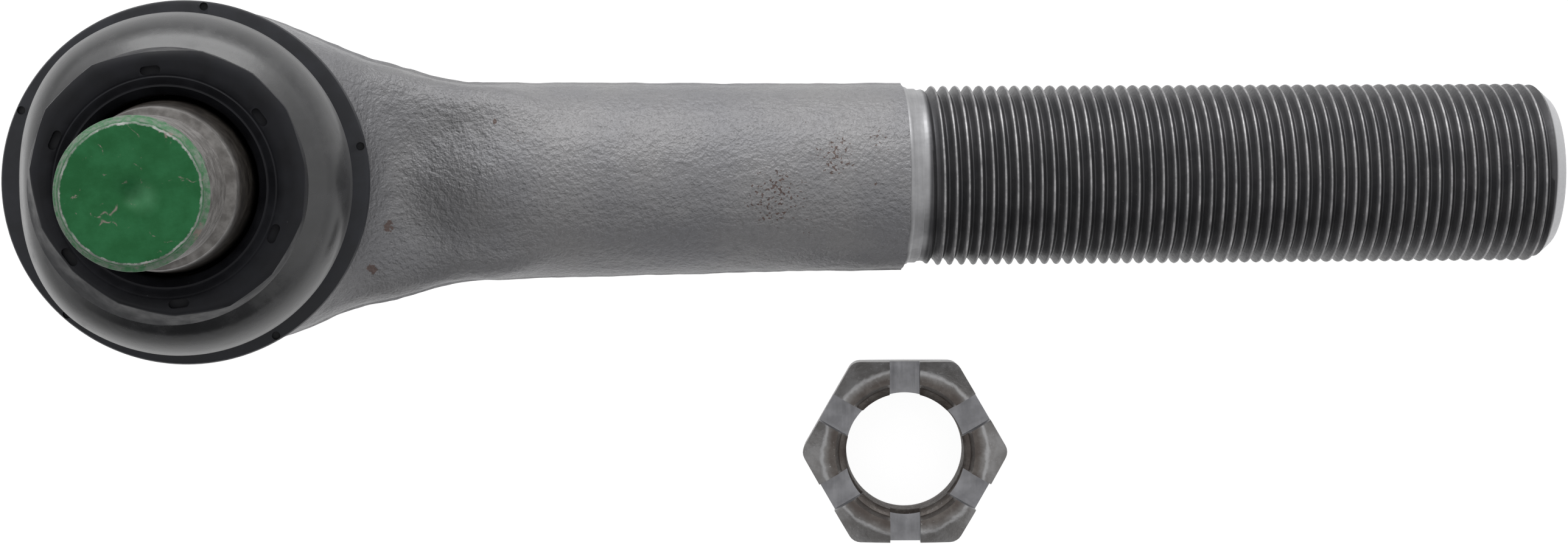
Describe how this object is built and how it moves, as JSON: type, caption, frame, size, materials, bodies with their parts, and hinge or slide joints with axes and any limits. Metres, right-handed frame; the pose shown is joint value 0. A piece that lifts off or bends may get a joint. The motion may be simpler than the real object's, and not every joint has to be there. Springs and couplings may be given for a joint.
{
  "type": "tie rod end",
  "caption": "Heavy-duty tie rod end: threaded shank, forged socket, tapered ball stud in a rubber boot, and a loose castellated nut.",
  "frame": {"origin": "centre of the closure plate's outer face, under the ball", "axes": "+Z along the stud from the closure to the stud's tip, +X from the socket along the threaded shank, +Y completes a right-handed frame"},
  "size_m": [0.2581, 0.0937, 0.1369],
  "materials": {
    "forged_steel": "shot-blasted forging with rolled threads",
    "stud_steel": "ground, with green paint on the tip",
    "nut_steel": "plain hot-formed steel with milled slots",
    "stamped_steel": "pressed sheet",
    "spring_steel": "oil-tempered wire",
    "boot_rubber": "moulded, matt crown and polished wall",
    "seal_rubber": "moulded",
    "bearing_plastic": "moulded acetal"
  },
  "bodies": {
    "housing": {"socket_housing": "forged_steel", "upper_bearing": "bearing_plastic", "lower_bearing": "bearing_plastic", "spring_seat": "stamped_steel", "preload_spring": "spring_steel", "closure_plate": "stamped_steel", "closure_seal": "seal_rubber", "boot_base_insert": "stamped_steel"},
    "boot": {"dust_boot": "boot_rubber"},
    "boot_crown": {"boot_crown_insert": "stamped_steel"},
    "stud": {"ball_stud": "stud_steel"},
    "nut": {"castle_nut": "nut_steel"}
  },
  "joints": [
    {"name": "stud_tilt_y", "type": "hinge", "parent": "housing", "child": "boot", "pos_m": [0, 0, 0.0365], "axis": [0, 1, 0], "range_deg": [-15, 15], "deforming": ["dust_boot"]},
    {"name": "stud_tilt_x", "type": "hinge", "parent": "boot", "child": "boot_crown", "pos_m": [0, 0, 0.0365], "axis": [1, 0, 0], "range_deg": [-15, 15]},
    {"name": "stud_spin", "type": "hinge", "parent": "boot_crown", "child": "stud", "pos_m": [0, 0, 0.0365], "axis": [0, 0, 1], "continuous": true},
    {"name": "nut_lift", "type": "slide", "parent": "housing", "child": "nut", "axis": [-0.099, 0.0468, 0.994], "range_m": [0, 0.12]}
  ]
}
